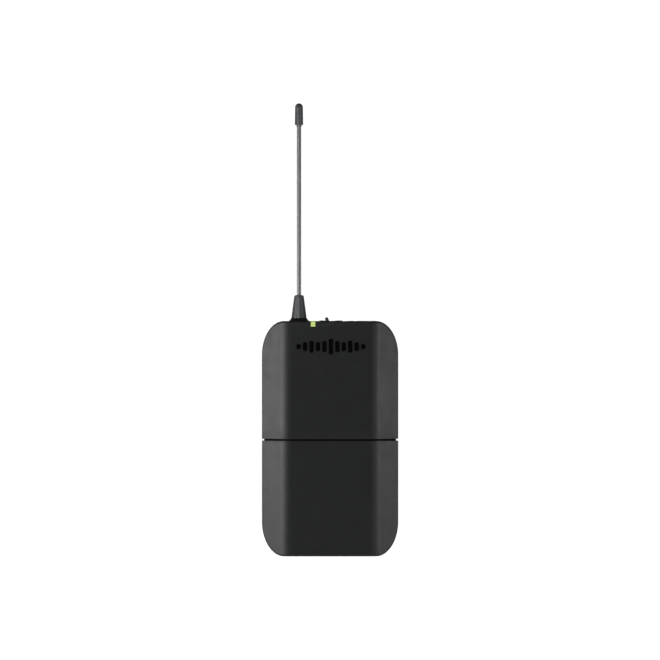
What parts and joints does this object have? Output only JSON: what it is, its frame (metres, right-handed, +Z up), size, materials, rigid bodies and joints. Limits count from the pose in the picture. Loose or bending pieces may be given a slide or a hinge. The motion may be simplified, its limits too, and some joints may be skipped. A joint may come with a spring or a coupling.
{
  "type": "wireless bodypack transmitter",
  "caption": "Slim belt-worn radio transmitter case with a flexible whip antenna, toggle power switch, microphone jack, drop-down battery door and belt clip.",
  "frame": {"origin": "middle of the flat bottom that the case stands on", "axes": "+Z up towards the antenna, +Y to the back where the belt clip is, +X to the right seen from the front"},
  "size_m": [0.064, 0.0268, 0.2125],
  "materials": {
    "case_plastic": "fine-textured charcoal moulded plastic",
    "inner_plastic": "black moulded plastic",
    "antenna_rubber": "satin black rubber",
    "collar_plastic": "semi-gloss black",
    "antenna_wire": "semi-gloss black sleeve over wire",
    "lever_plastic": "satin black",
    "light_pipe": "yellow-green translucent",
    "led_chip": "clear",
    "nickel": "satin nickel plate",
    "gold": "gold plate",
    "spring_steel": "bright",
    "clip_steel": "black powder coat",
    "screw_steel": "black oxide",
    "brass": "machined",
    "board_green": "solder mask",
    "tinplate": "tin plate",
    "chip_black": "moulded epoxy",
    "capacitor_can": "satin",
    "display_black": "gloss",
    "window_clear": "smoked",
    "button_grey": "satin",
    "trimmer_white": "satin",
    "label_film": "satin film",
    "cell_sleeve": "printed sleeve, blank"
  },
  "bodies": {
    "case": {"front_case": "case_plastic", "rear_case": "case_plastic", "rating_label": "label_film", "latch_spring_left": "spring_steel", "latch_spring_right": "spring_steel", "antenna_boot": "antenna_rubber", "antenna_collar": "collar_plastic", "antenna_whip": "antenna_wire", "antenna_tip": "antenna_rubber", "antenna_ferrule": "brass", "antenna_contact_clip": "gold", "led_light_pipe": "light_pipe", "status_led": "led_chip", "switch_bezel": "inner_plastic", "power_switch_body": "chip_black", "mic_jack_shell": "nickel", "mic_jack_insert": "inner_plastic", "mic_jack_contacts": "gold", "mic_jack_nut": "nickel", "main_board": "board_green", "rf_shield_can": "tinplate", "main_chips": "chip_black", "capacitors": "capacitor_can", "board_screws": "screw_steel", "case_screws": "screw_steel", "control_panel": "inner_plastic", "display_module": "display_black", "display_window": "window_clear", "group_switch": "chip_black", "channel_switch": "chip_black", "gain_trimmer_body": "display_black", "battery_tray": "inner_plastic", "battery_spring_left": "spring_steel", "battery_spring_right": "spring_steel", "bridge_contact": "spring_steel", "positive_contact": "spring_steel", "negative_contact": "spring_steel", "cell_left": "cell_sleeve", "cell_right": "cell_sleeve"},
    "battery_door": {"battery_door": "case_plastic", "door_hinge_pin": "spring_steel"},
    "latch_left": {"door_latch_left": "inner_plastic"},
    "latch_right": {"door_latch_right": "inner_plastic"},
    "power_lever": {"power_lever": "lever_plastic"},
    "group_button": {"group_button": "button_grey"},
    "channel_button": {"channel_button": "button_grey"},
    "gain_trimmer": {"gain_trimmer": "trimmer_white"},
    "belt_clip": {"belt_clip": "clip_steel"}
  },
  "joints": [
    {"name": "door_hinge", "type": "hinge", "parent": "case", "child": "battery_door", "pos_m": [0, -0.0012, 0.0019], "axis": [1, 0, 0], "range_deg": [0, 95]},
    {"name": "latch_left_press", "type": "slide", "parent": "case", "child": "latch_left", "axis": [1, 0, 0], "range_m": [0, 0.0012], "stiffness_N_per_m": 1500, "deforming": ["latch_spring_left"]},
    {"name": "latch_right_press", "type": "slide", "parent": "case", "child": "latch_right", "axis": [-1, 0, 0], "range_m": [0, 0.0012], "stiffness_N_per_m": 1500, "deforming": ["latch_spring_right"]},
    {"name": "power_toggle", "type": "hinge", "parent": "case", "child": "power_lever", "pos_m": [0, 0, 0.1074], "axis": [0, 1, 0], "range_deg": [0, 46]},
    {"name": "group_press", "type": "slide", "parent": "case", "child": "group_button", "axis": [0, 1, 0], "range_m": [0, 0.0005], "stiffness_N_per_m": 800},
    {"name": "channel_press", "type": "slide", "parent": "case", "child": "channel_button", "axis": [0, 1, 0], "range_m": [0, 0.0005], "stiffness_N_per_m": 800},
    {"name": "gain_turn", "type": "hinge", "parent": "case", "child": "gain_trimmer", "pos_m": [0.0156, 0, 0.013], "axis": [0, 1, 0], "range_deg": [-135, 135]},
    {"name": "clip_spread", "type": "hinge", "parent": "case", "child": "belt_clip", "pos_m": [0, 0.0062, 0.09], "axis": [1, 0, 0], "range_deg": [0, 10], "stiffness_Nm_per_rad": 1.5}
  ]
}
